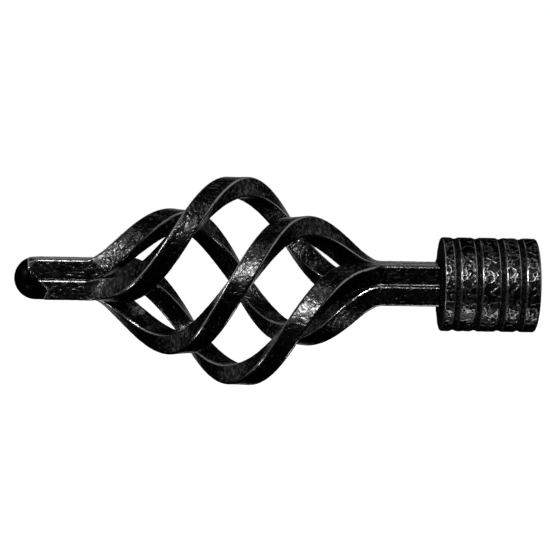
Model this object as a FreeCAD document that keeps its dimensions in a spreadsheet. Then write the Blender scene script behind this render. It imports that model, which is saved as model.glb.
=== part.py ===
import FreeCAD, Part
import os
import Sketcher
from math import asin, atan2, cos, hypot, radians, sin, sqrt, tan

# Curtain pole finial. Four square bars start as a tight bundle at the tip, spread into a twisted
# cage and close into a bundle again, the stem. The stem is welded to a round collar that goes
# over the pole's end and is held there by a grub screw.
#
# Frame: origin on the pole's axis at the seat of the collar's socket, where the pole's end
# bears. +X runs along the pole and out of the socket, the finial points to -X, +Z is up.

Vector = FreeCAD.Vector

doc = FreeCAD.newDocument("finial")

# Driving dimensions, in millimetres and degrees.
SIZES = [
    ("bar_size", "6.35", "side of the square bars"),
    ("cage_length", "91.7", "from the bend at the tip to the bend at the stem"),
    ("cage_radius", "29.2", "axis to a bar's centre line where the cage is widest"),
    ("bend_radius", "14.7", "bend of a bar where it leaves a bundle"),
    ("crown_radius", "25.9", "bend of a bar where the cage is widest"),
    ("cage_turn", "267", "turn of each bar about the axis along the cage"),
    ("turn_ease", "3", "length over which that turn starts, and stops"),
    ("bar_roll", "90", "turn of each bar about its own centre line along the cage"),
    ("roll_ease", "35", "length over which that roll starts, and stops"),
    ("tip_angle", "41.6", "first bar's place round the axis at the tip, up from the front"),
    ("tip_length", "15.7", "from the cage to the centre of the dome"),
    ("stem_length", "18.4", "from the cage to the collar"),
    ("dome_radius", "6.7", "round end that closes the tip bundle"),
    ("dome_edge_top", "2.5", "dome's upper edge, ahead of the dome's centre"),
    ("dome_edge_bend", "1.9", "where the edge starts to slant, ahead of the centre"),
    ("dome_bend_height", "2.5", "height of that place above the axis"),
    ("dome_edge_back", "4.3", "end of the slant, behind the dome's centre"),
    ("dome_back_drop", "3.6", "depth of the slant's end under the axis"),
    ("dome_edge_under", "3", "dome's lower edge, behind the dome's centre"),
    ("corner_run", "4", "length over which the bundle's corners are ground to the dome"),
    ("weld_leg", "0.8", "leg of the fillet weld round the stem"),
    ("pole_size", "25", "diameter of the pole"),
    ("pole_clearance", "0.25", "gap all round the pole"),
    ("socket_depth", "26", "from the collar's mouth to the seat"),
    ("end_wall", "3.5", "collar's closed end"),
    ("collar_wall", "2", "collar's wall under a band"),
    ("rim_ease", "0.5", "chamfer that eases the collar's outer edges"),
    ("mouth_chamfer", "0.5", "chamfer inside the collar's mouth"),
    ("groove_width", "2", "turned groove, at the surface"),
    ("groove_floor", "0.8", "turned groove, at its flat floor"),
    ("groove_depth", "0.45", "turned groove"),
    ("band_one", "3.1", "first band, next to the closed end"),
    ("band_two", "4.6", "second band"),
    ("band_three", "5.3", "third band, which takes the screw"),
    ("band_four", "4.2", "fourth band"),
    ("screw_size", "4", "thread diameter of the grub screw"),
    ("screw_length", "4", "grub screw from end to end"),
    ("screw_clearance", "0.05", "gap round the screw, and from its tip to the bore"),
    ("screw_key", "2", "hexagon socket across its flats"),
    ("screw_key_depth", "1.8", "hexagon socket"),
    ("screw_chamfer", "0.4", "chamfer on both ends of the screw"),
]
BAR_COUNT = 4
CAGE_STATIONS = 32
STRAIGHT_STATIONS = 4

sheet = doc.addObject("Spreadsheet::Sheet", "sizes")
for row, (alias, number, note) in enumerate(SIZES, start=1):
    sheet.set(f"A{row}", note)
    sheet.set(f"B{row}", number)
    sheet.setAlias(f"B{row}", alias)
doc.recompute()

# Places that several pieces share, as expressions of the sheet's sizes.
COLLAR_BACK = "(-sizes.end_wall)"
CAGE_END = f"({COLLAR_BACK} - sizes.stem_length)"
CAGE_START = f"({CAGE_END} - sizes.cage_length)"
DOME_CENTRE = f"({CAGE_START} - sizes.tip_length)"
BUNDLE_CORNER = "(sizes.bar_size * sqrt(2))"
BORE_RADIUS = "(sizes.pole_size / 2 + sizes.pole_clearance)"
COLLAR_RADIUS = f"({BORE_RADIUS} + sizes.collar_wall)"
BAND_THREE = f"({COLLAR_BACK} + sizes.band_one + sizes.band_two + 2 * sizes.groove_width)"
SCREW_PLACE = f"({BAND_THREE} + sizes.band_three / 2)"
SCREW_TIP = f"({BORE_RADIUS} + sizes.screw_clearance)"


def size(alias):
    return float(getattr(sheet, alias))


def new_body(label):
    body = doc.addObject("PartDesign::Body", label)
    body.Label = label
    return body


def new_sketch(body, name, role, offset=None):
    """Sketch on one of the body's own origin planes, moved along that plane's normal."""
    plane = [feature for feature in body.Origin.OriginFeatures if feature.Role == role][0]
    sketch = body.newObject("Sketcher::SketchObject", f"{body.Name}_{name}")
    sketch.AttachmentSupport = [(plane, "")]
    sketch.MapMode = "FlatFace"
    if offset:
        sketch.setExpression("AttachmentOffset.Base.z", offset)
    return sketch


def bind(sketch, kind, *where, text):
    """A dimension of the sketch that follows an expression of the sheet's sizes."""
    number = sketch.addConstraint(Sketcher.Constraint(kind, *where, 1.0))
    sketch.setExpression(f"Constraints[{number}]", text)


def draw_outline(sketch, places):
    """Closed outline of straight lines through places, each a pair of expressions."""
    start = [Vector(cos(2 * i), sin(2 * i), 0) for i in range(len(places))]
    lines = []
    for here, there in zip(start, start[1:] + start[:1]):
        lines.append(sketch.addGeometry(Part.LineSegment(here, there), False))
    for line, after in zip(lines, lines[1:] + lines[:1]):
        sketch.addConstraint(Sketcher.Constraint("Coincident", line, 2, after, 1))
    for line, (across, up) in zip(lines, places):
        bind(sketch, "DistanceX", -1, 1, line, 1, text=across)
        bind(sketch, "DistanceY", -1, 1, line, 1, text=up)


def draw_circle(sketch, across, up, radius):
    circle = sketch.addGeometry(Part.Circle(Vector(0, 0, 0), Vector(0, 0, 1), 1), False)
    bind(sketch, "DistanceX", -1, 1, circle, 3, text=across)
    bind(sketch, "DistanceY", -1, 1, circle, 3, text=up)
    bind(sketch, "Radius", circle, text=radius)


def add_feature(body, kind, name, sketch):
    feature = body.newObject(f"PartDesign::{kind}", f"{body.Name}_{name}")
    feature.Profile = sketch
    sketch.Visibility = False
    return feature


def turn_about_axis(feature, sketch):
    feature.ReferenceAxis = (sketch, ["H_Axis"])
    feature.Angle = 360


def square_corners(half, angle):
    """Corners of a square about the axis, turned by angle, as seen along the axis."""
    corners = []
    for quarter in range(4):
        corner = f"({angle} + {45 + 90 * quarter})"
        corners.append((f"{half} * sqrt(2) * cos{corner}", f"{half} * sqrt(2) * sin{corner}"))
    return corners


def eased_share(part, ease):
    """0 to 1 as part goes from 0 to 1, at an even rate between two eased ends."""
    part = min(max(part, 0.0), 1.0)
    rate = 1 / (1 - ease)
    if part < ease:
        return rate * part * part / (2 * ease)
    if part > 1 - ease:
        return 1 - rate * (1 - part) ** 2 / (2 * ease)
    return rate * (part - ease / 2)


# A bar's centre line, seen as its distance from the axis: straight in the bundle, a bend away
# from the axis, a straight flank, and a rounded crown half way along the cage. The two halves
# mirror each other. Along the cage the bar also turns about the axis.
cage_end = -size("end_wall") - size("stem_length")
cage_start = cage_end - size("cage_length")
cage_middle = (cage_start + cage_end) / 2
bar_start = cage_start - size("tip_length") - size("dome_radius")
bar_end = -size("end_wall")
half_cage = size("cage_length") / 2
bend = size("bend_radius")
crown = size("crown_radius")
bundle_radius = size("bar_size") / sqrt(2)
bend_centre = bundle_radius + bend
crown_centre = size("cage_radius") - crown
flank_angle = (atan2(crown_centre - bend_centre, half_cage)
               + asin((bend + crown) / hypot(half_cage, crown_centre - bend_centre)))
bend_run = half_cage - bend * sin(flank_angle)
crown_run = crown * sin(flank_angle)


def distance_from_axis(place):
    off_middle = abs(place - cage_middle)
    if off_middle >= half_cage:
        return bundle_radius
    if off_middle >= bend_run:
        return bend_centre - sqrt(bend ** 2 - (half_cage - off_middle) ** 2)
    if off_middle >= crown_run:
        flank_start = bend_centre - bend * cos(flank_angle)
        return flank_start + (bend_run - off_middle) * tan(flank_angle)
    return crown_centre + sqrt(crown ** 2 - off_middle ** 2)


def cage_share(place, ease):
    return eased_share((place - cage_start) / size("cage_length"), ease / size("cage_length"))


def outward(place, quarter):
    """Direction from the axis to a bar, seen along the axis."""
    turned = size("cage_turn") * cage_share(place, size("turn_ease"))
    angle = radians(size("tip_angle") + 90 * quarter + turned)
    return Vector(0, -cos(angle), sin(angle))


def bar_centre(place, quarter):
    return Vector(place, 0, 0) + outward(place, quarter) * distance_from_axis(place)


def bar_guide(place, quarter):
    """A point off the centre line that one side of the bar faces, which rolls the section."""
    step = 0.001
    along = bar_centre(place + step, quarter) - bar_centre(place - step, quarter)
    along.normalize()
    out = outward(place, quarter)
    out = out - along * out.dot(along)
    out.normalize()
    rolled = size("bar_roll") * cage_share(place, size("roll_ease"))
    angle = radians(45 - rolled)
    facing = out * cos(angle) + along.cross(out) * sin(angle)
    return bar_centre(place, quarter) + facing * size("bar_size")


def curve_through(point_at, quarter, name):
    """A smooth curve through the places along a bar, as a path for its section."""
    places = [bar_start + (cage_start - bar_start) * i / STRAIGHT_STATIONS
              for i in range(STRAIGHT_STATIONS)]
    places += [cage_start + size("cage_length") * i / CAGE_STATIONS
               for i in range(CAGE_STATIONS)]
    places += [cage_end + (bar_end - cage_end) * i / STRAIGHT_STATIONS
               for i in range(STRAIGHT_STATIONS + 1)]
    curve = Part.BSplineCurve()
    curve.interpolate([point_at(place, quarter) for place in places])
    feature = doc.addObject("Part::Feature", name)
    feature.Shape = curve.toShape()
    return feature


# The line, seen from the front, where the bars end and the dome begins: steep at the top,
# slanting back over the seam between the bars, and turning under the lower bars.
REACH = "(4 * sizes.bar_size)"
DOME_EDGE = [
    (f"{DOME_CENTRE} - sizes.dome_edge_top", REACH),
    (f"{DOME_CENTRE} - sizes.dome_edge_top", "sizes.bar_size"),
    (f"{DOME_CENTRE} - sizes.dome_edge_bend", "sizes.dome_bend_height"),
    (f"{DOME_CENTRE} + sizes.dome_edge_back", "-sizes.dome_back_drop"),
    (f"{DOME_CENTRE} + sizes.dome_edge_under", "-sizes.bar_size"),
    (f"{DOME_CENTRE} + sizes.dome_edge_under", f"-{REACH}"),
]


def cut_at_dome_edge(body, far_side):
    """Take off what lies beyond the dome's edge, up to far_side along the axis."""
    sketch = new_sketch(body, "edge_line", "XZ_Plane")
    draw_outline(sketch, DOME_EDGE + [(far_side, f"-{REACH}"), (far_side, REACH)])
    pocket = add_feature(body, "Pocket", "edge_cut", sketch)
    pocket.Midplane = True
    pocket.setExpression("Length", f"2 * {REACH}")


# Four bars of square section, each swept along its own centre line. In the bundle, a corner
# of every bar lies on the axis and the bars touch side to side.
def make_bar(quarter):
    body = new_body(f"cage_bar_{quarter + 1}")
    route = curve_through(bar_centre, quarter, f"bar_{quarter + 1}_centre_line")
    guide = curve_through(bar_guide, quarter, f"bar_{quarter + 1}_guide_line")
    binders = []
    for line in (route, guide):
        binder = body.newObject("PartDesign::SubShapeBinder", f"{line.Name}_in_body")
        binder.Support = [(line, ("",))]
        binders.append(binder)

    section = new_sketch(body, "section", "YZ_Plane",
                         f"{DOME_CENTRE} - sizes.dome_radius")
    side = f"(135 - sizes.tip_angle - {90 * quarter})"
    corner = f"({side} + 45)"
    draw_outline(section, [
        ("0 * sizes.bar_size", "0 * sizes.bar_size"),
        (f"sizes.bar_size * cos{side}", f"sizes.bar_size * sin{side}"),
        (f"{BUNDLE_CORNER} * cos{corner}", f"{BUNDLE_CORNER} * sin{corner}"),
        (f"-sizes.bar_size * sin{side}", f"sizes.bar_size * cos{side}"),
    ])
    doc.recompute()
    sweep = add_feature(body, "AdditivePipe", "sweep", section)
    sweep.Spine = (binders[0], ["Edge1"])
    sweep.Mode = "Auxiliary"
    sweep.AuxiliarySpine = (binders[1], ["Edge1"])
    sweep.AuxiliaryCurvilinear = False
    doc.recompute()

    cut_at_dome_edge(body, f"{DOME_CENTRE} - 2 * sizes.dome_radius")
    ground = new_sketch(body, "ground_line", "XZ_Plane")
    draw_outline(ground, [
        (f"{DOME_CENTRE} - sizes.dome_edge_top", "sizes.dome_radius"),
        (f"{DOME_CENTRE} - sizes.dome_edge_top + sizes.corner_run", BUNDLE_CORNER),
        (f"{DOME_CENTRE} - sizes.dome_edge_top + sizes.corner_run", f"2 * {BUNDLE_CORNER}"),
        (f"{DOME_CENTRE} - sizes.dome_edge_top", f"2 * {BUNDLE_CORNER}"),
    ])
    turn_about_axis(add_feature(body, "Groove", "ground_corner", ground), ground)
    doc.recompute()
    return body


# Round end of the bundle: half a ball with a short round body behind it, ended along the same
# line as the bars, which it is welded to.
def make_tip_dome():
    body = new_body("tip_dome")
    profile = new_sketch(body, "profile", "XZ_Plane")
    centre = -size("end_wall") - size("stem_length") - size("cage_length") - size("tip_length")
    radius = size("dome_radius")
    back = centre + radius
    quarter_circle = profile.addGeometry(Part.ArcOfCircle(
        Part.Circle(Vector(centre, 0, 0), Vector(0, 0, 1), radius), radians(90), radians(180)))
    corners = [Vector(centre - radius, 0, 0), Vector(back, 0, 0), Vector(back, radius, 0),
               Vector(centre, radius, 0)]
    lines = [profile.addGeometry(Part.LineSegment(here, there), False)
             for here, there in zip(corners, corners[1:])]
    chain = [(quarter_circle, 2), (lines[0], 1), (lines[0], 2), (lines[1], 1),
             (lines[1], 2), (lines[2], 1), (lines[2], 2), (quarter_circle, 1)]
    for (one, one_end), (other, other_end) in zip(chain[::2], chain[1::2]):
        profile.addConstraint(Sketcher.Constraint("Coincident", one, one_end, other, other_end))
    profile.addConstraint(Sketcher.Constraint("PointOnObject", quarter_circle, 3, -1))
    profile.addConstraint(Sketcher.Constraint("PointOnObject", quarter_circle, 2, -1))
    profile.addConstraint(Sketcher.Constraint("Vertical", quarter_circle, 1, quarter_circle, 3))
    profile.addConstraint(Sketcher.Constraint("Horizontal", lines[0]))
    profile.addConstraint(Sketcher.Constraint("Vertical", lines[1]))
    profile.addConstraint(Sketcher.Constraint("Horizontal", lines[2]))
    bind(profile, "DistanceX", -1, 1, quarter_circle, 3, text=DOME_CENTRE)
    bind(profile, "Radius", quarter_circle, text="sizes.dome_radius")
    bind(profile, "DistanceX", -1, 1, lines[1], 1,
         text=f"{DOME_CENTRE} + sizes.dome_radius")
    turn_about_axis(add_feature(body, "Revolution", "ball", profile), profile)
    doc.recompute()
    cut_at_dome_edge(body, f"{DOME_CENTRE} + 2 * sizes.dome_radius")
    doc.recompute()
    return body


# Round cup turned from one piece: closed towards the stem, open towards the pole, with four
# grooves that leave five bands.
def make_collar():
    body = new_body("collar")
    profile = new_sketch(body, "profile", "XZ_Plane")
    mouth = "sizes.socket_depth"
    draw_outline(profile, [
        (COLLAR_BACK, "0 * sizes.end_wall"),
        (COLLAR_BACK, COLLAR_RADIUS),
        (mouth, COLLAR_RADIUS),
        (mouth, f"{BORE_RADIUS} + sizes.mouth_chamfer"),
        (f"{mouth} - sizes.mouth_chamfer", BORE_RADIUS),
        ("0 * sizes.end_wall", BORE_RADIUS),
        ("0 * sizes.end_wall", "0 * sizes.end_wall"),
    ])
    turn_about_axis(add_feature(body, "Revolution", "cup", profile), profile)
    doc.recompute()

    start = COLLAR_BACK
    for band in ("band_one", "band_two", "band_three", "band_four"):
        start = f"({start} + sizes.{band})"
        slope = "(sizes.groove_width - sizes.groove_floor) / 2"
        floor = f"{COLLAR_RADIUS} - sizes.groove_depth"
        outside = f"{COLLAR_RADIUS} + sizes.groove_depth"
        ring = new_sketch(body, f"groove_after_{band}", "XZ_Plane")
        draw_outline(ring, [
            (f"{start} - {slope}", outside),
            (f"{start} + {slope}", floor),
            (f"{start} + sizes.groove_width - {slope}", floor),
            (f"{start} + sizes.groove_width + {slope}", outside),
        ])
        turn_about_axis(add_feature(body, "Groove", f"cut_after_{band}", ring), ring)
        doc.recompute()
        start = f"({start} + sizes.groove_width)"

    cup = body.Tip
    rims = []
    for number, edge in enumerate(cup.Shape.Edges, start=1):
        at_end = min(abs(edge.CenterOfMass.x - end)
                     for end in (-size("end_wall"), size("socket_depth"))) < 0.01
        radius = size("pole_size") / 2 + size("pole_clearance") + size("collar_wall")
        if at_end and abs(edge.BoundBox.YMax - radius) < 0.01:
            rims.append(f"Edge{number}")
    eased = body.newObject("PartDesign::Chamfer", "collar_rim_ease")
    eased.Base = (cup, rims)
    eased.setExpression("Size", "sizes.rim_ease")
    doc.recompute()

    hole = new_sketch(body, "screw_hole_circle", "XZ_Plane")
    draw_circle(hole, SCREW_PLACE, "0 * sizes.screw_size",
                "sizes.screw_size / 2 + sizes.screw_clearance")
    drilled = add_feature(body, "Pocket", "screw_hole", hole)
    drilled.setExpression("Length", f"{COLLAR_RADIUS} + sizes.screw_length")
    doc.recompute()
    return body


# Fillet weld between the stem's four outer sides and the collar's closed end.
def make_stem_weld():
    body = new_body("stem_weld")
    stem_angle = "(-sizes.tip_angle - sizes.cage_turn + 45)"
    outer = f"(sizes.bar_size + sizes.weld_leg)"
    foot = new_sketch(body, "foot", "YZ_Plane", COLLAR_BACK)
    draw_outline(foot, square_corners(outer, stem_angle))
    toe = new_sketch(body, "toe", "YZ_Plane", f"{COLLAR_BACK} - sizes.weld_leg")
    draw_outline(toe, square_corners("sizes.bar_size", stem_angle))
    doc.recompute()
    bead = add_feature(body, "AdditiveLoft", "bead", foot)
    bead.Sections = [toe]
    bead.Ruled = True
    doc.recompute()
    inside = new_sketch(body, "inside", "YZ_Plane", COLLAR_BACK)
    draw_outline(inside, square_corners("sizes.bar_size", stem_angle))
    opening = add_feature(body, "Pocket", "stem_opening", inside)
    opening.Midplane = True
    opening.setExpression("Length", "4 * sizes.weld_leg")
    doc.recompute()
    return body


# Socket set screw in the wall of the third band, on the side away from the front.
def make_grub_screw():
    body = new_body("grub_screw")
    end = new_sketch(body, "end_circle", "XZ_Plane", f"-{SCREW_TIP}")
    draw_circle(end, SCREW_PLACE, "0 * sizes.screw_size", "sizes.screw_size / 2")
    shank = add_feature(body, "Pad", "shank", end)
    shank.Reversed = True
    shank.setExpression("Length", "sizes.screw_length")
    doc.recompute()
    rims = [f"Edge{number}" for number, edge in enumerate(shank.Shape.Edges, start=1)
            if "Circle" in edge.Curve.TypeId]
    chamfer = body.newObject("PartDesign::Chamfer", "grub_screw_chamfer")
    chamfer.Base = (shank, rims)
    chamfer.setExpression("Size", "sizes.screw_chamfer")
    doc.recompute()
    key = new_sketch(body, "key_outline", "XZ_Plane", f"-({SCREW_TIP} + sizes.screw_length)")
    across = "sizes.screw_key / sqrt(3)"
    draw_outline(key, [(f"{SCREW_PLACE} + {across} * cos({60 * i})", f"{across} * sin({60 * i})")
                       for i in range(6)])
    socket = add_feature(body, "Pocket", "key", key)
    socket.Reversed = True
    socket.setExpression("Length", "sizes.screw_key_depth")
    doc.recompute()
    return body


pieces = [make_bar(quarter) for quarter in range(BAR_COUNT)]
pieces += [make_tip_dome(), make_collar(), make_stem_weld(), make_grub_screw()]
doc.recompute()

for item in doc.Objects:
    if "Invalid" in item.State or "Error" in item.State:
        raise RuntimeError(f"{item.Label} failed to build: {item.State}")
for piece in pieces:
    if piece.Shape.isNull() or not piece.Shape.isValid() or len(piece.Shape.Solids) != 1:
        raise RuntimeError(f"{piece.Label} is not one valid solid")

os.makedirs("parts", exist_ok=True)
for piece in pieces:
    piece.Shape.exportStep(f"parts/{piece.Label}.step")
    print(piece.Label, "volume", round(piece.Shape.Volume, 1), "mm3")
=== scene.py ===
from math import asin, atan2, cos, hypot, pi, radians, sin, sqrt, tan

import bmesh
import bpy
from mathutils import Matrix, Vector


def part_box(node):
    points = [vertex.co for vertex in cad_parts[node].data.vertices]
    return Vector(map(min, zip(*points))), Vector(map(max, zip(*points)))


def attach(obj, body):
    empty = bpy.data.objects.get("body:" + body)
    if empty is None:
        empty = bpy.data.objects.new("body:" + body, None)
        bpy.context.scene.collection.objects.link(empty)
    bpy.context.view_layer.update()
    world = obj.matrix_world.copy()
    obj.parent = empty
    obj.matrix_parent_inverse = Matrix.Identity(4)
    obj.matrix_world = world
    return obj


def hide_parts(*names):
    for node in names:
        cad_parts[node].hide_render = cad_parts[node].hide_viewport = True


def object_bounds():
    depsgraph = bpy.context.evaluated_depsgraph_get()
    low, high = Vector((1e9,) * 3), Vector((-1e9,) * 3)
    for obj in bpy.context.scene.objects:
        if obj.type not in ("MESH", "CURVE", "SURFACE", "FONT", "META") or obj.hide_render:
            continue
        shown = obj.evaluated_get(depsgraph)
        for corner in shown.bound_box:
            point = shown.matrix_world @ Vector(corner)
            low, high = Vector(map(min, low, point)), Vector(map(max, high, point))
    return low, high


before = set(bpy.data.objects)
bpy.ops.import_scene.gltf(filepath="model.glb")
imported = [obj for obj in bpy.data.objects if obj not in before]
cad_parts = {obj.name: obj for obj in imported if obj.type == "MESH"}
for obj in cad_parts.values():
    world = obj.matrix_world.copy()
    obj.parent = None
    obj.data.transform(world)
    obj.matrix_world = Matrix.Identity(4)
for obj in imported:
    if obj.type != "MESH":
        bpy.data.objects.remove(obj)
cad_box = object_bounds()


# The stage: plain white all round, as in the photograph, with a pale floor well below the
# finial, which is made to stick out from a wall. A few small bright lamps stand for the studio's.
def add_node(tree, kind, inputs=None, **settings):
    """Add a node. inputs holds numbers or sockets by name, settings the node's own choices."""
    node = tree.nodes.new(kind)
    for name, value in settings.items():
        setattr(node, name, value)
    for name, value in (inputs or {}).items():
        put(tree, value, node.inputs[name])
    return node


def put(tree, value, socket):
    """Link value to the socket if it comes from another node, or else write it there."""
    value = getattr(value, "socket", value)
    if isinstance(value, bpy.types.NodeSocket):
        tree.links.new(value, socket)
    else:
        socket.default_value = value


def seen_directly(tree):
    """1 for what the camera sees, also in a mirror or through glass, and 0 for other light."""
    path = add_node(tree, "ShaderNodeLightPath")
    seen = path.outputs["Is Camera Ray"]
    for ray in ("Is Glossy Ray", "Is Transmission Ray"):
        either = tree.nodes.new("ShaderNodeMath")
        either.operation = "MAXIMUM"
        put(tree, seen, either.inputs[0])
        put(tree, path.outputs[ray], either.inputs[1])
        seen = either.outputs[0]
    return seen


room_light = 0.25
world = bpy.data.worlds.new("studio")
world.use_nodes = True
bpy.context.scene.world = world
room = world.node_tree
backdrop = room.nodes["Background"]
backdrop.inputs["Color"].default_value = (1, 1, 1, 1)
level = add_node(room, "ShaderNodeMapRange", {"Value": seen_directly(room), "To Min": room_light})
put(room, level.outputs["Result"], backdrop.inputs["Strength"])

floor_drop = 0.3
floor_reach = 12
floor_glow = 0.8
floor_colour = (0.85, 0.85, 0.84, 1)
floor_roughness = 0.8
floor_mesh = bpy.data.meshes.new("floor")
floor_mesh.from_pydata([(across * floor_reach, back * floor_reach, -floor_drop)
                        for across, back in ((-1, -1), (1, -1), (1, 1), (-1, 1))],
                       [], [(0, 1, 2, 3)])
floor_finish = bpy.data.materials.new("floor_white")
floor_finish.use_nodes = True
floor_tree = floor_finish.node_tree
floor_paint = floor_tree.nodes["Principled BSDF"]
floor_paint.inputs["Base Color"].default_value = floor_colour
floor_paint.inputs["Roughness"].default_value = floor_roughness
floor_paint.inputs["Emission Color"].default_value = (1, 1, 1, 1)
glow = add_node(floor_tree, "ShaderNodeMapRange",
                {"Value": seen_directly(floor_tree), "To Max": floor_glow})
put(floor_tree, glow.outputs["Result"], floor_paint.inputs["Emission Strength"])
floor_mesh.materials.append(floor_finish)
floor = bpy.data.objects.new("floor", floor_mesh)
bpy.context.scene.collection.objects.link(floor)

subject = (cad_box[0] + cad_box[1]) / 2

# A dark cloth runs forward over the finial, down behind the camera and back over the floor, so
# that faces turned to the front or down mirror black, as in the photograph. Only mirrors show it, and
# it takes no light from the floor, so that every side can be looked at.
cloth_width = 4.0
cloth_distance = 1.8
cloth_top = 3.6
cloth_lift = 0.01
cloth_bottom = cloth_lift - floor_drop
cloth_back_above = 1.2
cloth_back_below = 0.6
cloth_line = ((cloth_back_above, cloth_top), (-cloth_distance, cloth_top), (-cloth_distance, cloth_bottom),
              (cloth_back_below, cloth_bottom))
cloth_mesh = bpy.data.meshes.new("dark_cloth")
cloth_mesh.from_pydata([(subject.x + side * cloth_width / 2, place, height)
                        for place, height in cloth_line for side in (-1, 1)],
                       [], [(0, 1, 3, 2), (2, 3, 5, 4), (4, 5, 7, 6)])
cloth_finish = bpy.data.materials.new("cloth_black")
cloth_finish.use_nodes = True
cloth_shader = cloth_finish.node_tree.nodes["Principled BSDF"]
cloth_shader.inputs["Base Color"].default_value = (0, 0, 0, 1)
cloth_shader.inputs["Specular IOR Level"].default_value = 0
cloth_mesh.materials.append(cloth_finish)
cloth = bpy.data.objects.new("dark_cloth", cloth_mesh)
cloth.visible_camera = False
cloth.visible_shadow = False
cloth.visible_diffuse = False
bpy.context.scene.collection.objects.link(cloth)


def add_lamp(name, turn, lift, distance, width, height, power):
    """Lamp that faces the finial, turn degrees to the right of the front, lift degrees up."""
    away = Vector((sin(radians(turn)) * cos(radians(lift)),
                   -cos(radians(turn)) * cos(radians(lift)), sin(radians(lift))))
    light = bpy.data.lights.new(name, "AREA")
    light.shape = "RECTANGLE"
    light.size = width
    light.size_y = height
    light.energy = power
    lamp = bpy.data.objects.new(name, light)
    lamp.matrix_world = (Matrix.Translation(subject + away * distance)
                         @ away.to_track_quat("Z", "Y").to_matrix().to_4x4())
    lamp.visible_camera = False
    bpy.context.scene.collection.objects.link(lamp)


add_lamp("key_lamp", turn=-8, lift=25, distance=1.5, width=0.2, height=0.36, power=25)
add_lamp("upper_lamp", turn=-4, lift=60, distance=1.5, width=0.2, height=0.4, power=2)
add_lamp("side_lamp", turn=-62, lift=24, distance=1.5, width=0.14, height=0.3, power=8)
add_lamp("low_lamp", turn=56, lift=-59, distance=0.175, width=0.05, height=0.05, power=0.06)
add_lamp("corner_lamp", turn=-60, lift=-38, distance=0.44, width=0.06, height=0.06, power=0.4)

# The photograph's camera, found by laying the finial's outline over the photograph.
lens = 0.11959
camera_distance = 0.56893
subject_offset = Vector((-0.012932, 0, -0.00183))
aimed_at = Vector((-0.06795, 0, 0))
camera_turn = 1.3942
camera_tilt = 1.0096
camera_roll = 0.921
turned = (Matrix.Rotation(radians(camera_roll), 4, "Y") @ Matrix.Rotation(radians(camera_tilt), 4, "X")
          @ Matrix.Rotation(radians(camera_turn), 4, "Z"))
camera_place = aimed_at + turned.inverted() @ (Vector((0, -camera_distance, 0)) - subject_offset)
camera = bpy.data.objects.new("camera", bpy.data.cameras.new("camera"))
camera.data.sensor_width = 36
camera.data.lens = lens * 1000
camera.data.clip_start = 0.01
camera.matrix_world = (Matrix.Translation(camera_place) @ turned.inverted()
                       @ Matrix.Rotation(radians(90), 4, "X"))
bpy.context.scene.collection.objects.link(camera)
bpy.context.scene.camera = camera
bpy.context.scene.view_settings.view_transform = "Standard"


# The cage bars: four lengths of square black iron bar. They were bundled, welded at both ends,
# and twisted and pushed together hot, so that they spread into the cage while each bar rolled a
# quarter turn. Their corners are worn round, and the paint follows the forge's rough skin.
class Amount:
    """A number that a node tree works out, so that a formula in the script reads as one."""

    def __init__(self, tree, socket):
        self.tree = tree
        self.socket = socket

    def work(self, operation, *others):
        node = self.tree.nodes.new("ShaderNodeMath")
        node.operation = operation
        for value, socket in zip((self, *others), node.inputs):
            put(self.tree, value, socket)
        return Amount(self.tree, node.outputs[0])

    def __add__(self, other):
        return self.work("ADD", other)

    def __sub__(self, other):
        return self.work("SUBTRACT", other)

    def __mul__(self, other):
        return self.work("MULTIPLY", other)

    def __truediv__(self, other):
        return self.work("DIVIDE", other)

    def __neg__(self):
        return self.work("MULTIPLY", -1)

    __radd__ = __add__
    __rmul__ = __mul__

    def __rsub__(self, other):
        return -self + other

    def within(self, low, high):
        """The number, held between low and high."""
        return self.work("MAXIMUM", low).work("MINIMUM", high)

    def root(self):
        """Its square root, or 0 where it is below 0."""
        return self.work("MAXIMUM", 0).work("SQRT")


class Direction:
    """A vector that a node tree works out."""

    def __init__(self, tree, socket):
        self.tree = tree
        self.socket = socket

    def work(self, operation, other=None, result="Vector"):
        node = self.tree.nodes.new("ShaderNodeVectorMath")
        node.operation = operation
        put(self.tree, self, node.inputs[0])
        if isinstance(other, Direction):
            put(self.tree, other, node.inputs[1])
        elif other is not None:
            put(self.tree, other, node.inputs["Scale"])
        kind = Amount if result == "Value" else Direction
        return kind(self.tree, node.outputs[result])

    def __add__(self, other):
        return self.work("ADD", other)

    def __sub__(self, other):
        return self.work("SUBTRACT", other)

    def __mul__(self, amount):
        return self.work("SCALE", amount)

    def dot(self, other):
        return self.work("DOT_PRODUCT", other, "Value")

    def cross(self, other):
        return self.work("CROSS_PRODUCT", other)

    def unit(self):
        return self.work("NORMALIZE")

    def parts(self):
        node = add_node(self.tree, "ShaderNodeSeparateXYZ", {"Vector": self})
        return [Amount(self.tree, socket) for socket in node.outputs]


def vector(tree, x, y, z):
    """A vector from its three parts."""
    return Direction(tree, add_node(tree, "ShaderNodeCombineXYZ", {"X": x, "Y": y, "Z": z}).outputs[0])


def reading(tree, kind):
    """What a node such as Position or Normal reads from the shape."""
    return Direction(tree, tree.nodes.new(kind).outputs[0])


def mark(tree, shape, name, value):
    """The shape, with the value written under that name on each of its points."""
    node = add_node(tree, "GeometryNodeStoreNamedAttribute",
                    {"Geometry": shape, "Name": name, "Value": value}, data_type="FLOAT")
    return node.outputs[0]


def marked(tree, name):
    """What mark wrote under that name."""
    node = add_node(tree, "GeometryNodeInputNamedAttribute", {"Name": name}, data_type="FLOAT")
    return Amount(tree, node.outputs[0])


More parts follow.
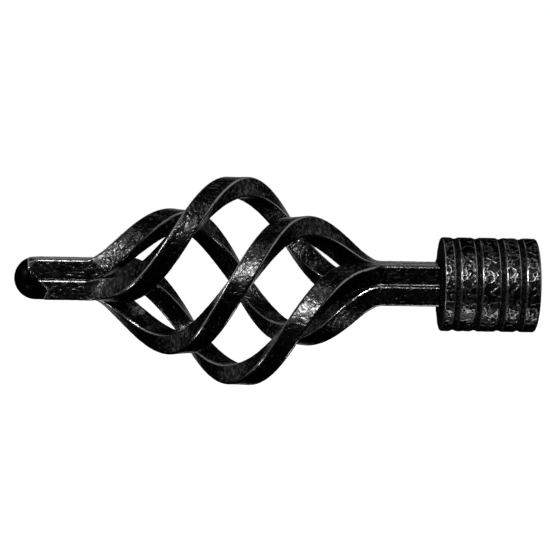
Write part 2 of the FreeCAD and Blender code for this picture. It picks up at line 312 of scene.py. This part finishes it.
def new_tree(name, sizes, takes_shape=False):
    """A shape's node tree with a named input for each size, and those inputs."""
    tree = bpy.data.node_groups.new(name, "GeometryNodeTree")
    tree.interface.new_socket("Shape", in_out="OUTPUT", socket_type="NodeSocketGeometry")
    if takes_shape:
        tree.interface.new_socket("Shape", in_out="INPUT", socket_type="NodeSocketGeometry")
    tree.interface.new_socket("Finish", in_out="INPUT", socket_type="NodeSocketMaterial")
    for size in sizes:
        tree.interface.new_socket(size, in_out="INPUT", socket_type="NodeSocketFloat")
    entry = tree.nodes.new("NodeGroupInput")
    return tree, {size: Amount(tree, entry.outputs[size]) for size in sizes}, entry


def end_tree(tree, shape, entry):
    """Make the shape real, with its finish, and hand it out."""
    smooth = add_node(tree, "GeometryNodeSetShadeSmooth", {"Geometry": shape})
    real = add_node(tree, "GeometryNodeRealizeInstances", {"Geometry": smooth.outputs[0]})
    painted = add_node(tree, "GeometryNodeSetMaterial",
                       {"Geometry": real.outputs[0], "Material": entry.outputs["Finish"]})
    put(tree, painted.outputs[0], tree.nodes.new("NodeGroupOutput").inputs["Shape"])


def made_plain(piece, modifier):
    """The piece's mesh becomes what the modifier makes of it."""
    bpy.context.view_layer.update()
    mesh = bpy.data.meshes.new_from_object(piece.evaluated_get(bpy.context.evaluated_depsgraph_get()))
    piece.modifiers.remove(modifier)
    piece.data = mesh
    mesh.name = piece.name


def grow(name, tree, finish, start=None, **sizes):
    """A plain mesh piece made by a tree, from the mesh start if the tree shapes one."""
    piece = bpy.data.objects.new(name, start or bpy.data.meshes.new(name + "_seed"))
    bpy.context.scene.collection.objects.link(piece)
    maker = piece.modifiers.new("maker", "NODES")
    maker.node_group = tree
    for item in tree.interface.items_tree:
        if item.in_out == "INPUT" and item.socket_type == "NodeSocketMaterial":
            maker[item.identifier] = finish
        elif item.in_out == "INPUT" and item.socket_type == "NodeSocketFloat":
            maker[item.identifier] = sizes.pop(item.name.lower().replace(" ", "_"))
    if sizes:
        raise ValueError(f"{tree.name} has no input for {sorted(sizes)}")
    made_plain(piece, maker)
    return piece


def shader_group(name, inputs, outputs):
    """An effect's node group, with its named inputs, and the node that takes its named outputs."""
    group = bpy.data.node_groups.new(name, "ShaderNodeTree")
    for label in inputs:
        group.interface.new_socket(label, in_out="INPUT", socket_type="NodeSocketFloat")
    for label in outputs:
        group.interface.new_socket(label, in_out="OUTPUT", socket_type="NodeSocketFloat")
    entry = group.nodes.new("NodeGroupInput")
    leave = group.nodes.new("NodeGroupOutput")
    return group, {label: Amount(group, entry.outputs[label]) for label in inputs}, leave


def noise(tree, place, scale, detail=2.0, seed=0.0):
    """Cloudy noise that varies about 0.5, with scale clouds to the metre."""
    node = add_node(tree, "ShaderNodeTexNoise",
                    {"Vector": place, "Scale": scale, "Detail": detail, "W": seed},
                    noise_dimensions="4D")
    return Amount(tree, node.outputs[0])


def curled_strokes(tree, place, curl_size, stroke, seed):
    """1 on the crowns of winding strokes, as a forge hammer leaves them, and 0 between them."""
    level = noise(tree, place, curl_size.work("POWER", -1), detail=1.0, seed=seed)
    off_crown = ((level - 0.5).work("ABSOLUTE") / stroke).within(0, 1)
    return 1 - off_crown * off_crown


def rise(value, start, rate):
    """0 up to start, and from there up to 1 at that rate."""
    return ((value - start) * rate).within(0, 1)


# Rough skin of satin paint over iron. Grains and strokes stand up from it or are sunk in it, and
# where it was rubbed, most of all at corners, the paint is thin and bare iron glints through. A
# piece's points carry two marks: edge, up to 1 on a worn corner, and a second mark, 1 where the
# paint is matt and also painted darker, as shade in recesses.
skin_group, skin_in, skin_out = shader_group(
    "worn_paint",
    ["Grain size", "Grain height", "Curl size", "Stroke", "Stroke height", "Seed", "Patch size", "Wear",
     "Edge wear", "Stroke wear"],
    ["Height", "Patch", "Bare", "Dull"])
where = Direction(skin_group, add_node(skin_group, "ShaderNodeTexCoord").outputs["Object"])
edge, dull = [
    Amount(skin_group, add_node(skin_group, "ShaderNodeAttribute", attribute_name=name).outputs["Fac"])
    for name in ("edge", "dull")]

grains_to_metre = skin_in["Grain size"].work("POWER", -1)
patches_to_metre = skin_in["Patch size"].work("POWER", -1)
rub_scale = 0.6
grains = noise(skin_group, where, grains_to_metre)
patch = noise(skin_group, where, patches_to_metre, seed=5.0)
rubbed = noise(skin_group, where, grains_to_metre * rub_scale, detail=1.0, seed=9.0)
strokes = (curled_strokes(skin_group, where, skin_in["Curl size"], skin_in["Stroke"], skin_in["Seed"])
           * (1 - dull))

face_start = 1.02
face_rate = 6
on_faces = rise(grains + rubbed, face_start, face_rate) * skin_in["Wear"]
thin_start = 0.24
thin_rate = 7
corner_start = 0.2
corner_rate = 2
on_edges = (rise(rubbed, thin_start, thin_rate) * rise(edge, corner_start, corner_rate)
            * skin_in["Edge wear"])
crown_start = 0.5
crown_rate = 2
on_strokes = rise(strokes, crown_start, crown_rate) * skin_in["Stroke wear"]
smooth_rate = 3
smooth_share = 0.95
smoothed = smooth_share * (edge * smooth_rate).within(0, 1)
height = (grains * skin_in["Grain height"] + strokes * skin_in["Stroke height"]) * (1 - smoothed)

put(skin_group, height, skin_out.inputs["Height"])
put(skin_group, (patch + grains) / 2, skin_out.inputs["Patch"])
put(skin_group, dull, skin_out.inputs["Dull"])
put(skin_group, on_faces.work("MAXIMUM", on_edges).work("MAXIMUM", on_strokes), skin_out.inputs["Bare"])


def mixed(tree, share, first, second):
    """Colour between first and second."""
    node = add_node(tree, "ShaderNodeMix", {"Factor": share}, data_type="RGBA")
    for value, socket in zip((first, second), [item for item in node.inputs if item.type == "RGBA"]):
        put(tree, value, socket)
    return [item for item in node.outputs if item.type == "RGBA"][0]


patch_low = 0.3
patch_span = 0.4


def black_paint(name, skin_sizes, colours, roughness, iron=(0.14, 0.14, 0.143), iron_roughness=0.2,
                painted_shade_colour=(0.003, 0.003, 0.0031), dull_roughness=0.65, edge_on=0.35):
    """Deep black satin paint, which mirrors little and hardly more when seen edge-on. colours and
    roughness each hold the two that its patches vary between. Iron shows where it is worn through,
    and where the matt mark lies it is matt and painted darker, as shade."""
    finish = bpy.data.materials.new(name)
    finish.use_nodes = True
    tree = finish.node_tree
    shader = tree.nodes["Principled BSDF"]
    skin = add_node(tree, "ShaderNodeGroup", node_tree=skin_group)
    for label, value in skin_sizes.items():
        skin.inputs[label].default_value = value
    bare = Amount(tree, skin.outputs["Bare"])
    dull = Amount(tree, skin.outputs["Dull"])
    patch = ((Amount(tree, skin.outputs["Patch"]) - patch_low) / patch_span).within(0, 1)
    paint = mixed(tree, patch, *[(*colour, 1) for colour in colours])
    # Painted shade: where the paint is matt, in the collar's grooves and bore and on its end faces, it
    # takes a darker colour.
    paint = mixed(tree, dull, paint, (*painted_shade_colour, 1))
    put(tree, mixed(tree, bare, paint, (*iron, 1)), shader.inputs["Base Color"])
    shader.inputs["Metallic"].default_value = 1
    shader.inputs["Specular Tint"].default_value = (edge_on, edge_on, edge_on, 1)
    rough = patch * (roughness[1] - roughness[0]) + roughness[0]
    rough = rough + dull * (dull_roughness - rough)
    put(tree, rough + bare * (iron_roughness - rough), shader.inputs["Roughness"])
    bump = add_node(tree, "ShaderNodeBump",
                    {"Height": skin.outputs["Height"], "Distance": 1.0, "Strength": 1.0})
    put(tree, bump.outputs["Normal"], shader.inputs["Normal"])
    return finish


bar_curl = 0.0022
bar_stroke = 0.06
bar_seed = 1.0
bar_skin = {"Grain size": 0.001, "Grain height": 0.00011, "Curl size": bar_curl, "Stroke": bar_stroke,
            "Stroke height": -0.00003, "Seed": bar_seed, "Patch size": 0.004, "Wear": 0.2, "Edge wear": 1.0,
            "Stroke wear": 0.0}
bar_paint = black_paint("forged_black", bar_skin, roughness=(0.22, 0.3), iron=(0.16, 0.16, 0.163),
                        colours=((0.007, 0.007, 0.0071), (0.028, 0.028, 0.0286)))

bar_count = 4
bar_size = 0.00635
corner_radius = 0.0007
cage_length = 0.0917
cage_radius = 0.0292
bend_radius = 0.0147
crown_radius = 0.0259
cage_turn = 267
turn_ease = 0.003
bar_roll = 90
roll_ease = 0.035
tip_angle = 41.6
tip_length = 0.0157
stem_length = 0.0184
dome_radius = 0.0067
corner_run = 0.004
bar_spacing = 0.00032
bar_stroke_depth = 0.00004

closed_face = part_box("collar")[0].x
cage_end = closed_face - stem_length
cage_start = cage_end - cage_length
dome_centre = cage_start - tip_length
bundle_radius = bar_size / sqrt(2)
half_cage = cage_length / 2
bend_centre = bundle_radius + bend_radius
crown_centre = cage_radius - crown_radius
flank_angle = (atan2(crown_centre - bend_centre, half_cage)
               + asin((bend_radius + crown_radius) / hypot(half_cage, crown_centre - bend_centre)))

# The line, seen from the front, where the bars end at the dome: pairs of height over the axis and
# place along it, from the top down.
edge_line = [(bar_size, dome_centre - 0.0025), (0.0025, dome_centre - 0.0019),
             (-0.0036, dome_centre + 0.0043), (-bar_size, dome_centre + 0.003)]
edge_tip = edge_line[0][1]


def edge_place(height):
    """Place along the axis of the dome's edge, for a height that is an Amount or a number."""
    place = edge_tip
    for (upper, start), (lower, end) in zip(edge_line, edge_line[1:]):
        if isinstance(height, Amount):
            share = ((upper - height) / (upper - lower)).within(0, 1)
        else:
            share = min(max((upper - height) / (upper - lower), 0), 1)
        place = share * (end - start) + place
    return place


bar_tree, bar_in, bar_entry = new_tree("twisted_bar", [
    "Side", "Corner radius", "First angle", "Turn", "Turn ease", "Roll", "Roll ease", "Point spacing",
    "Curl size", "Stroke", "Depth", "Seed"])


def cage_share(x, ease):
    """0 to 1 along the cage, at an even rate between two eased ends."""
    part = ((x - cage_start) / cage_length).within(0, 1)
    ease = ease / cage_length

    def ramp(along):
        low = along.within(0, ease)
        return low * low / (2 * ease) + (along - ease).work("MAXIMUM", 0)

    return (ramp(part) - ramp(part - (1 - ease))) / (1 - ease)


def distance_from_axis(x):
    """A bend out of the bundle, a straight flank and a round crown, the same on both halves."""
    off_middle = (x - (cage_start + half_cage)).work("ABSOLUTE")
    bend_run = bend_radius * sin(flank_angle)
    crown_run = crown_radius * sin(flank_angle)
    on_bend = (half_cage - off_middle).within(0, bend_run)
    on_flank = (half_cage - bend_run - off_middle).within(0, half_cage - bend_run - crown_run)
    on_crown = off_middle.within(0, crown_run)
    return (bend_centre - (bend_radius ** 2 - on_bend * on_bend).root()
            + on_flank * tan(flank_angle)
            + (crown_radius ** 2 - on_crown * on_crown).root() - crown_radius * cos(flank_angle))


def outward(x):
    """The way from the axis to the bar's centre line."""
    angle = bar_in["First angle"] + bar_in["Turn"] * cage_share(x, bar_in["Turn ease"])
    return vector(bar_tree, 0, -angle.work("COSINE"), angle.work("SINE"))


line_points = 1500
axis_line = add_node(bar_tree, "GeometryNodeCurvePrimitiveLine",
                     {"Start": (edge_tip, 0, 0), "End": (closed_face, 0, 0)})
points = add_node(bar_tree, "GeometryNodeResampleCurve",
                  {"Curve": axis_line.outputs[0], "Count": line_points})
x, _, _ = reading(bar_tree, "GeometryNodeInputPosition").parts()
centre_line = add_node(bar_tree, "GeometryNodeSetPosition",
                       {"Geometry": points.outputs[0],
                        "Position": vector(bar_tree, x, 0, 0) + outward(x) * distance_from_axis(x)})
even = add_node(bar_tree, "GeometryNodeResampleCurve",
                {"Curve": centre_line.outputs[0], "Length": bar_in["Point spacing"]}, mode="LENGTH")
along = reading(bar_tree, "GeometryNodeInputTangent")
out = outward(x)
out = (out - along * out.dot(along)).unit()
roll = radians(45) - bar_in["Roll"] * cage_share(x, bar_in["Roll ease"])
side = out * roll.work("COSINE") + along.cross(out) * roll.work("SINE")
route = add_node(bar_tree, "GeometryNodeSetCurveNormal",
                 {"Curve": even.outputs[0], "Normal": side}, mode="FREE")

# A bar is a little thicker on its flanks, where it was upset as the cage was pushed together.
flank_swell = 0.06
swell_start = 0.006
swell_end = 0.03
swell_fade = 0.012
from_bundle = half_cage - (x - (cage_start + half_cage)).work("ABSOLUTE")
swelling = ((from_bundle / swell_start).within(0, 1) * ((swell_end - from_bundle) / swell_fade).within(0, 1)
            * flank_swell)

# The section: a square whose corners are rounded in corner_pieces + 1 points each. The last point of
# a corner starts a side, which is cut into side_pieces.
corner_pieces = 6
side_pieces = 13
square = add_node(bar_tree, "GeometryNodeCurvePrimitiveQuadrilateral",
                  {"Width": bar_in["Side"], "Height": bar_in["Side"]})
eased = add_node(bar_tree, "GeometryNodeFilletCurve",
                 {"Curve": square.outputs[0], "Count": corner_pieces, "Radius": bar_in["Corner radius"]},
                 mode="POLY")
number = Amount(bar_tree, bar_tree.nodes.new("GeometryNodeInputIndex").outputs[0])
starts_side = (number.work("MODULO", corner_pieces + 1) - (corner_pieces - 0.5)).work("GREATER_THAN", 0)
section = add_node(bar_tree, "GeometryNodeSubdivideCurve",
                   {"Curve": eased.outputs[0], "Cuts": starts_side * (side_pieces - 1)})
across, up, _ = reading(bar_tree, "GeometryNodeInputPosition").parts()
nearer = across.work("ABSOLUTE").work("MINIMUM", up.work("ABSOLUTE"))
at_corner = (((nearer - bar_in["Side"] / 2) / bar_in["Corner radius"] + 1) * sqrt(2)).within(0, 1)
profile = mark(bar_tree, section.outputs[0], "edge", at_corner)
swept = add_node(bar_tree, "GeometryNodeCurveToMesh",
                 {"Curve": route.outputs[0], "Profile Curve": profile, "Fill Caps": True,
                  "Scale": 1 + swelling})

# The bundle's end at the dome: each line along a bar is stretched to the edge line, with its
# points closer together there, and the outer corners are ground down to the dome.
end_crowding = 1.6
end_round = 0.00035
end_wear = 2.5
least_radius = 0.0001
place = reading(bar_tree, "GeometryNodeInputPosition")
x, y, z = place.parts()
edge = edge_place(z)
share = ((x - edge_tip) / (cage_start - edge_tip)).within(0, 1)
from_edge = share.work("POWER", end_crowding) * (cage_start - edge)
in_bundle = (cage_start - x).work("GREATER_THAN", 0)
new_x = x + in_bundle * (edge + from_edge - x)
radius = (y * y + z * z).root()
ground = (new_x - edge_tip) * ((bundle_radius * 2 - dome_radius) / corner_run) + dome_radius
shrink = (ground / radius.work("MAXIMUM", least_radius)).work("MINIMUM", 1)
shrink = 1 + in_bundle * (shrink - 1)
fitted = add_node(bar_tree, "GeometryNodeSetPosition",
                  {"Geometry": swept.outputs[0],
                   "Position": vector(bar_tree, new_x, y * shrink, z * shrink)})

# The skin: the hammer's strokes are sunk in it, and the end is rounded and worn at the edge line.
place = reading(bar_tree, "GeometryNodeInputPosition")
normal = reading(bar_tree, "GeometryNodeInputNormal")
strokes = curled_strokes(bar_tree, place, bar_in["Curl size"], bar_in["Stroke"], bar_in["Seed"])
x, y, z = place.parts()
short = (end_round - (x - edge_place(z))).within(0, end_round)
end_drop = end_round - (end_round ** 2 - short * short).root()
cut = strokes * bar_in["Depth"] + end_drop
end_edge = ((end_round * end_wear - (x - edge_place(z))) / end_round).within(0, 1)
worn = mark(bar_tree, fitted.outputs[0], "edge", marked(bar_tree, "edge").work("MAXIMUM", end_edge))
finished = add_node(bar_tree, "GeometryNodeSetPosition", {"Geometry": worn, "Offset": normal * -cut})
end_tree(bar_tree, finished.outputs[0], bar_entry)

for quarter in range(bar_count):
    node = f"cage_bar_{quarter + 1}"
    bar = grow(f"forged_{node}", bar_tree, bar_paint, side=bar_size, corner_radius=corner_radius,
               first_angle=radians(tip_angle + 90 * quarter), turn=radians(cage_turn),
               turn_ease=turn_ease, roll=radians(bar_roll), roll_ease=roll_ease,
               point_spacing=bar_spacing, curl_size=bar_curl, stroke=bar_stroke,
               depth=bar_stroke_depth, seed=bar_seed)
    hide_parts(node)
    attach(bar, "root")


# The tip dome: the bars' ends were closed with weld metal, ground to a ball and painted with
# them. Its paint is smoother than the bars', and its edge is the line that the grinder left.
def piece_from(name, build, finish):
    """A plain mesh piece from a bmesh, shaded smooth."""
    bmesh.ops.recalc_face_normals(build, faces=build.faces)
    mesh = bpy.data.meshes.new(name)
    build.to_mesh(mesh)
    build.free()
    mesh.shade_smooth()
    mesh.materials.append(finish)
    piece = bpy.data.objects.new(name, mesh)
    bpy.context.scene.collection.objects.link(piece)
    return piece


def round_skin(rings, columns, place_of, edge_of=lambda ring: 0.0):
    """Closed skin of rings round an axis. place_of(ring, angle) gives a place. The first ring and
    the last close to a point. edge_of(ring) is 1 where the ring lies on a worn edge."""
    build = bmesh.new()
    worn = build.verts.layers.float.new("edge")
    loops = []
    for ring in range(rings):
        at_pole = ring in (0, rings - 1)
        loop = [build.verts.new(place_of(ring, 2 * pi * column / columns))
                for column in range(1 if at_pole else columns)]
        for vert in loop:
            vert[worn] = edge_of(ring)
        loops.append(loop)
    for loop, after in zip(loops, loops[1:]):
        for column in range(columns):
            beside = (column + 1) % columns
            corners = [loop[column % len(loop)], loop[beside % len(loop)],
                       after[beside % len(after)], after[column % len(after)]]
            build.faces.new(list(dict.fromkeys(corners)))
    return build


dome_skin = {"Grain size": 0.0009, "Grain height": 0.00006, "Curl size": 0.003, "Stroke": 0.05,
             "Stroke height": 0.0, "Seed": 2.0, "Patch size": 0.006, "Wear": 0.0, "Edge wear": 0.6,
             "Stroke wear": 0.0}
dome_paint = black_paint("ground_black", dome_skin, roughness=(0.26, 0.32), edge_on=0.2,
                         colours=((0.001, 0.001, 0.0011), (0.002, 0.002, 0.0021)))
dome_rings = 90
dome_columns = 160
dome_lip = 0.0004
hidden_radii = (0.85, 0)
quarter_arc = dome_radius * pi / 2


def dome_point(ring, angle):
    """A point on the ball, at an even step from its tip to the edge line, then inside to the axis."""
    height = dome_radius * sin(angle)
    reach = edge_place(height) - dome_centre
    if reach < 0:
        length = dome_radius * (pi / 2 + asin(reach / dome_radius))
    else:
        length = quarter_arc + reach
    skin_rings = dome_rings - 1 - len(hidden_radii)
    run = length * min(ring / skin_rings, 1)
    if run < quarter_arc:
        along = -dome_radius * cos(run / dome_radius)
        radius = dome_radius * sin(run / dome_radius)
    else:
        along = run - quarter_arc
        radius = dome_radius
    short = min(max(dome_lip - (length - run), 0), dome_lip)
    radius -= dome_lip - sqrt(dome_lip ** 2 - short ** 2)
    if ring > skin_rings:
        radius *= hidden_radii[ring - skin_rings - 1]
    return Vector((dome_centre + along, -radius * cos(angle), radius * sin(angle)))


dome = piece_from("ground_tip_dome", round_skin(dome_rings, dome_columns, dome_point), dome_paint)
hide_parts("tip_dome")
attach(dome, "root")


# The collar: a round iron cup turned from one piece, with four grooves that leave five bands. Its
# bands were hammered, or cast to look it, and are painted black with the rest. A hole in its
# wall, on the side away from the front, is tapped for the grub screw.
arc_pieces = 4


def eased_outline(corners):
    """Points along an outline with rounded corners. Each corner gives its place along the axis,
    its radius from it, its rounding, and how far apart the points after it may be. Also gives for
    each point whether it lies on a rounding."""
    stops = [(Vector(corners[0][:2]), 0.0, corners[0][3])]
    for before, corner, after in zip(corners, corners[1:], corners[2:]):
        here = Vector(corner[:2])
        rounding, step = corner[2:]
        back = (Vector(before[:2]) - here).normalized()
        on = (Vector(after[:2]) - here).normalized()
        half = back.angle(on) / 2
        turn = pi - 2 * half
        centre = here + (back + on).normalized() * (rounding / sin(half))
        stands_out = back.cross(on) > 0
        start = here + back * (rounding / tan(half)) - centre
        end = here + on * (rounding / tan(half)) - centre
        for piece in range(arc_pieces + 1):
            share = piece / arc_pieces
            spoke = (start * sin((1 - share) * turn) + end * sin(share * turn)) / sin(turn)
            worn = sin(pi * share) if stands_out else 0.0
            stops.append((centre + spoke, worn, step if piece == arc_pieces else 1.0))
    stops.append((Vector(corners[-1][:2]), 0.0, 1.0))
    line = []
    for (here, worn, step), (there, _, _) in zip(stops, stops[1:]):
        line.append((here, worn))
        pieces = int((there - here).length / step) + 1
        line += [(here.lerp(there, piece / pieces), 0.0) for piece in range(1, pieces)]
    return line + [(stops[-1][0], 0.0)]


collar_curl = 0.0022
collar_stroke = 0.08
collar_seed = 3.0
collar_skin = {"Grain size": 0.0006, "Grain height": 0.00008, "Curl size": collar_curl,
               "Stroke": collar_stroke, "Stroke height": 0.00006, "Seed": collar_seed,
               "Patch size": 0.005, "Wear": 0.1, "Edge wear": 1.0, "Stroke wear": 0.6}
collar_paint = black_paint("hammered_black", collar_skin, roughness=(0.22, 0.3), edge_on=0.0,
                           iron=(0.17, 0.17, 0.173), iron_roughness=0.3,
                           colours=((0.01, 0.01, 0.0102), (0.025, 0.025, 0.0254)))
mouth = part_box("collar")[1].x
collar_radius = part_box("collar")[1].z
collar_wall = 0.002
bore_radius = collar_radius - collar_wall
rim_round = 0.0005
groove_width = 0.002
groove_floor = 0.0008
groove_depth = 0.00045
groove_round = 0.00014
band_round = 0.0008
band_lengths = (0.0031, 0.0046, 0.0053, 0.0042)
chamfer_round = 0.0001
seat_round = 0.0004
fine_step = 0.00025
bore_step = 0.0007
flat_step = 0.002
collar_columns = 384

corners = [(closed_face, 0, 0, flat_step), (closed_face, collar_radius, rim_round, fine_step)]
band_end = closed_face
slope = (groove_width - groove_floor) / 2
for band in band_lengths:
    band_end += band
    for step, drop, rounding in ((0, 0, band_round),
                                 (slope, groove_depth, groove_round),
                                 (groove_width - slope, groove_depth, groove_round),
                                 (groove_width, 0, band_round)):
        corners.append((band_end + step, collar_radius - drop, rounding, fine_step))
    band_end += groove_width
corners += [(mouth, collar_radius, rim_round, fine_step),
            (mouth, bore_radius + rim_round, chamfer_round, fine_step),
            (mouth - rim_round, bore_radius, chamfer_round, bore_step),
            (0, bore_radius, seat_round, flat_step), (0, 0, 0, 1)]
collar_line = eased_outline(corners)


def collar_point(ring, angle):
    """A point of the outline, turned about the axis."""
    (along, radius), _ = collar_line[ring]
    return Vector((along, -radius * cos(angle), radius * sin(angle)))


def collar_wear(ring):
    """Whether the outline's point lies on a rounded corner that stands out."""
    return collar_line[ring][1]


collar_build = round_skin(len(collar_line), collar_columns, collar_point, collar_wear)
collar = piece_from("turned_collar", collar_build, collar_paint)

screw_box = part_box("grub_screw")
screw_place = (screw_box[0] + screw_box[1]) / 2
screw_radius = (screw_box[1].x - screw_box[0].x) / 2
screw_clearance = 0.00005
hole_radius = screw_radius + screw_clearance
hole_columns = 64
drill_length = 0.01
drill_place = Matrix.Translation(screw_place) @ Matrix.Rotation(radians(90), 4, "X")
drill_build = bmesh.new()
bmesh.ops.create_cone(drill_build, cap_ends=True, segments=hole_columns, radius1=hole_radius,
                      radius2=hole_radius, depth=drill_length, matrix=drill_place)
drill = piece_from("drill", drill_build, collar_paint)
bored = collar.modifiers.new("bored", "BOOLEAN")
bored.operation = "DIFFERENCE"
bored.object = drill
made_plain(collar, bored)
bpy.data.objects.remove(drill)

# The hammer sank the bands and the closed face between the crowns of its strokes, and left slow
# dents. At worn edges the crowns are nearly flat. The grooves and the bore stay as turned, and their
# paint and the closed face's is matt and painted darker, as shade. The hammering begins a little
# above the grooves' floors.
collar_stroke_depth = 0.00008
dent_size = 0.004
dent_depth = 0.00012
edge_flattening = 0.8
hammer_start = 0.9
hammer_rise = 0.7
face_depth = 0.0003
face_fade = 10000
hammer_tree, hammer_in, hammer_entry = new_tree("hammered_bands", [
    "Curl size", "Stroke", "Depth", "Dent size", "Dent depth", "Groove radius", "Seed"], takes_shape=True)
place = reading(hammer_tree, "GeometryNodeInputPosition")
normal = reading(hammer_tree, "GeometryNodeInputNormal")
x, y, z = place.parts()
out_of_groove = (y * y + z * z).root() - hammer_in["Groove radius"]
on_bands = (out_of_groove / (groove_depth * hammer_rise)).within(0, 1)
on_closed_face = ((closed_face + face_depth - x) * face_fade).within(0, 1)
strokes = curled_strokes(hammer_tree, place, hammer_in["Curl size"], hammer_in["Stroke"], hammer_in["Seed"])
dents_to_metre = hammer_in["Dent size"].work("POWER", -1)
dents = noise(hammer_tree, place, dents_to_metre, detail=1.0, seed=hammer_in["Seed"])
raised = strokes * (1 - edge_flattening * marked(hammer_tree, "edge"))
cut = (1 - raised) * hammer_in["Depth"] + dents * hammer_in["Dent depth"]
cut = cut * on_bands.work("MAXIMUM", on_closed_face)
# Off the bands the paint is marked matt, and this mark also paints it darker, as shade.
matt_and_shade_marked = mark(hammer_tree, hammer_entry.outputs["Shape"], "dull", 1 - on_bands)
hammered = add_node(hammer_tree, "GeometryNodeSetPosition", {"Geometry": matt_and_shade_marked, "Offset": normal * -cut})
end_tree(hammer_tree, hammered.outputs[0], hammer_entry)

turned_mesh = collar.data
bpy.data.objects.remove(collar)
collar = grow("hammered_collar", hammer_tree, collar_paint, start=turned_mesh, curl_size=collar_curl,
              stroke=collar_stroke, depth=collar_stroke_depth, dent_size=dent_size,
              dent_depth=dent_depth, groove_radius=collar_radius - groove_depth * hammer_start,
              seed=collar_seed)
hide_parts("collar")
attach(collar, "root")


# The stem weld: a bead run round the stem where it meets the collar's closed end, in short steps
# that leave it rippled, and painted over.
bead_radius = 0.001
bead_least = 0.62
ripple_length = 0.0009
ripple_share = 0.18
wander_scale = 600
wander_share = 0.3
bead_step = 0.0001
bead_columns = 20
weld_tree, weld_in, weld_entry = new_tree(
    "weld_bead", ["Stem side", "Stem angle", "Bead radius", "Ripple length"])
stem = add_node(weld_tree, "GeometryNodeCurvePrimitiveQuadrilateral",
                {"Width": weld_in["Stem side"], "Height": weld_in["Stem side"]})
stem_line = add_node(weld_tree, "GeometryNodeResampleCurve",
                     {"Curve": stem.outputs[0], "Length": bead_step}, mode="LENGTH")
turned_line = add_node(weld_tree, "GeometryNodeTransform",
                       {"Geometry": stem_line.outputs[0],
                        "Rotation": vector(weld_tree, 0, 0, weld_in["Stem angle"])})
stood = add_node(weld_tree, "GeometryNodeTransform",
                 {"Geometry": turned_line.outputs[0], "Translation": (closed_face, 0, 0),
                  "Rotation": (radians(90), 0, radians(90))})
run = Amount(weld_tree, weld_tree.nodes.new("GeometryNodeSplineParameter").outputs["Length"])
ripple = (run / weld_in["Ripple length"] * pi).work("SINE").work("ABSOLUTE")
wander = noise(weld_tree, reading(weld_tree, "GeometryNodeInputPosition"), wander_scale, detail=1.0)
ring = add_node(weld_tree, "GeometryNodeCurvePrimitiveCircle",
                {"Radius": weld_in["Bead radius"], "Resolution": bead_columns})
bead = add_node(weld_tree, "GeometryNodeCurveToMesh",
                {"Curve": stood.outputs[0], "Profile Curve": ring.outputs[0],
                 "Scale": bead_least + ripple * ripple_share + wander * wander_share})
end_tree(weld_tree, bead.outputs[0], weld_entry)
weld = grow("rippled_stem_weld", weld_tree, dome_paint, stem_side=2 * bar_size,
            stem_angle=radians(45 - tip_angle - cage_turn), bead_radius=bead_radius,
            ripple_length=ripple_length)
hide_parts("stem_weld")
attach(weld, "root")


# The grub screw: a short steel set screw with a hexagon socket, black oxide finish, run into the
# collar's wall until its flat end nearly meets the bore.
screw_skin = {"Grain size": 0.0003, "Grain height": 0.00002, "Curl size": 0.001, "Stroke": 0.05,
              "Stroke height": 0.0, "Seed": 4.0, "Patch size": 0.001, "Wear": 0.3, "Edge wear": 1.0,
              "Stroke wear": 0.0}
screw_oxide = black_paint("black_oxide", screw_skin, roughness=(0.3, 0.4),
                          colours=((0.012, 0.012, 0.014), (0.02, 0.02, 0.022)))
thread_pitch = 0.0007
thread_depth = 0.0004
thread_slope = 2.6
thread_crest = 0.1
screw_chamfer = 0.0004
key_across = 0.002
key_depth = 0.0018
key_point = key_across / 6
screw_columns = 96
thread_rings = 120
screw_low = screw_box[0].y
screw_high = screw_box[1].y
key_floor = screw_high - key_depth


def key_radius(angle):
    """Distance from the screw's axis to the hexagon's side."""
    return key_across / 2 / cos((angle + pi / 6) % (pi / 3) - pi / 6)


def screw_point(ring, angle):
    """From the middle of the flat end over the thread to the bottom of the hexagon socket."""
    if ring == 0:
        along, radius = screw_low, 0
    elif ring <= thread_rings:
        along = screw_low + (screw_high - screw_low) * (ring - 1) / (thread_rings - 1)
        turns = ((along - screw_low) / thread_pitch - angle / (2 * pi)) % 1
        sunk = min(max(thread_slope * abs(turns - 0.5) - thread_crest, 0), 1)
        inset = max(screw_chamfer - (along - screw_low), screw_chamfer - (screw_high - along), 0)
        radius = min(screw_radius - thread_depth * sunk, screw_radius - inset)
    else:
        along = (screw_high, key_floor, key_floor - key_point)[ring - thread_rings - 1]
        radius = 0 if ring == thread_rings + 3 else key_radius(angle)
    return Vector((screw_place.x + radius * cos(angle), along, screw_place.z + radius * sin(angle)))


screw_build = round_skin(thread_rings + 4, screw_columns, screw_point)
screw = piece_from("socket_grub_screw", screw_build, screw_oxide)
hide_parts("grub_screw")
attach(screw, "root")
